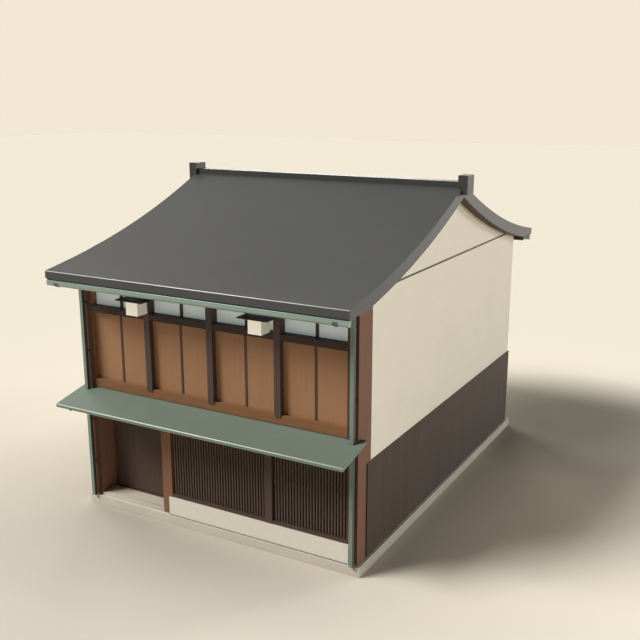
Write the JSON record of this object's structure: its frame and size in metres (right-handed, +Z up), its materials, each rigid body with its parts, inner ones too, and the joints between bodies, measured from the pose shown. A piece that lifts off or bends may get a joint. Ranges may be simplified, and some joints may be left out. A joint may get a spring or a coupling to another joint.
{
  "type": "machiya townhouse",
  "caption": "Narrow timber townhouse between plain party walls, with a lattice front, recessed sliding entrance door, metal canopy, boarded upper front and a curved gable roof.",
  "frame": {"origin": "on the ground, under the middle of the foundation slab", "axes": "+X to the right along the street front, +Y back into the plot, +Z up; the front faces -Y"},
  "size_m": [6.462, 9.46, 6.422],
  "materials": {
    "foundation_stone": "smooth pale grey concrete",
    "floor_screed": "trowelled screed",
    "floor_boards": "plain boards",
    "plaster": "smooth cream lime plaster",
    "plinth_plaster": "smooth cream lime plaster",
    "charred_boards": "dark stained upright boards",
    "red_timber": "red-brown stained timber",
    "dark_timber": "dark stained timber",
    "lattice_timber": "dark stained slender bars",
    "door_boards": "dark stained boards",
    "cedar_panels": "warm brown boards",
    "window_glass": "frosted pale blue-grey",
    "dark_glass": "smoked",
    "roof_sheet": "matt dark grey lapped sheet",
    "ridge_sheet": "matt dark grey sheet",
    "canopy_copper": "satin verdigris green",
    "gutter_copper": "satin verdigris green",
    "lantern_shade": "translucent white paper",
    "lantern_cap": "matt black"
  },
  "bodies": {
    "house": {"foundation_slab": "foundation_stone", "ground_floor": "floor_screed", "upper_floor": "floor_boards", "right_wall": "plaster", "left_wall": "plaster", "right_gable": "plaster", "left_gable": "plaster", "gable_battens": "dark_timber", "right_wing_wall": "red_timber", "left_wing_wall": "red_timber", "right_wainscot": "charred_boards", "left_wainscot": "charred_boards", "rear_wall": "plaster", "rear_wainscot": "charred_boards", "rear_window_frames": "dark_timber", "rear_window_glass": "window_glass", "plinth_wall": "plinth_plaster", "entrance_post": "red_timber", "lattice_post": "dark_timber", "lattice_sills": "dark_timber", "lattice_left": "lattice_timber", "lattice_right": "lattice_timber", "lattice_glass": "dark_glass", "ground_head_beam": "dark_timber", "door_threshold": "dark_timber", "door_head_board": "dark_timber", "door_guides": "dark_timber", "entrance_side_panel": "door_boards", "canopy": "canopy_copper", "canopy_rafters": "dark_timber", "upper_sill_beam": "red_timber", "upper_posts": "dark_timber", "upper_rail": "dark_timber", "upper_head_beam": "dark_timber", "upper_panels": "cedar_panels", "panel_battens": "dark_timber", "transom_mullions": "dark_timber", "transom_glass": "window_glass", "front_roof": "roof_sheet", "rear_roof": "roof_sheet", "rear_purlin": "dark_timber", "ridge_beam": "ridge_sheet", "ridge_ends": "ridge_sheet", "front_gutter": "gutter_copper", "rear_gutter": "gutter_copper", "gutter_straps": "gutter_copper", "right_downpipe": "gutter_copper", "left_downpipe": "gutter_copper", "lantern_boxes": "lantern_shade", "lantern_caps": "lantern_cap"},
    "door": {"entrance_door": "door_boards"}
  },
  "joints": [
    {"name": "door_slide", "type": "slide", "parent": "house", "child": "door", "axis": [1, 0, 0], "range_m": [0, 1.45]}
  ]
}
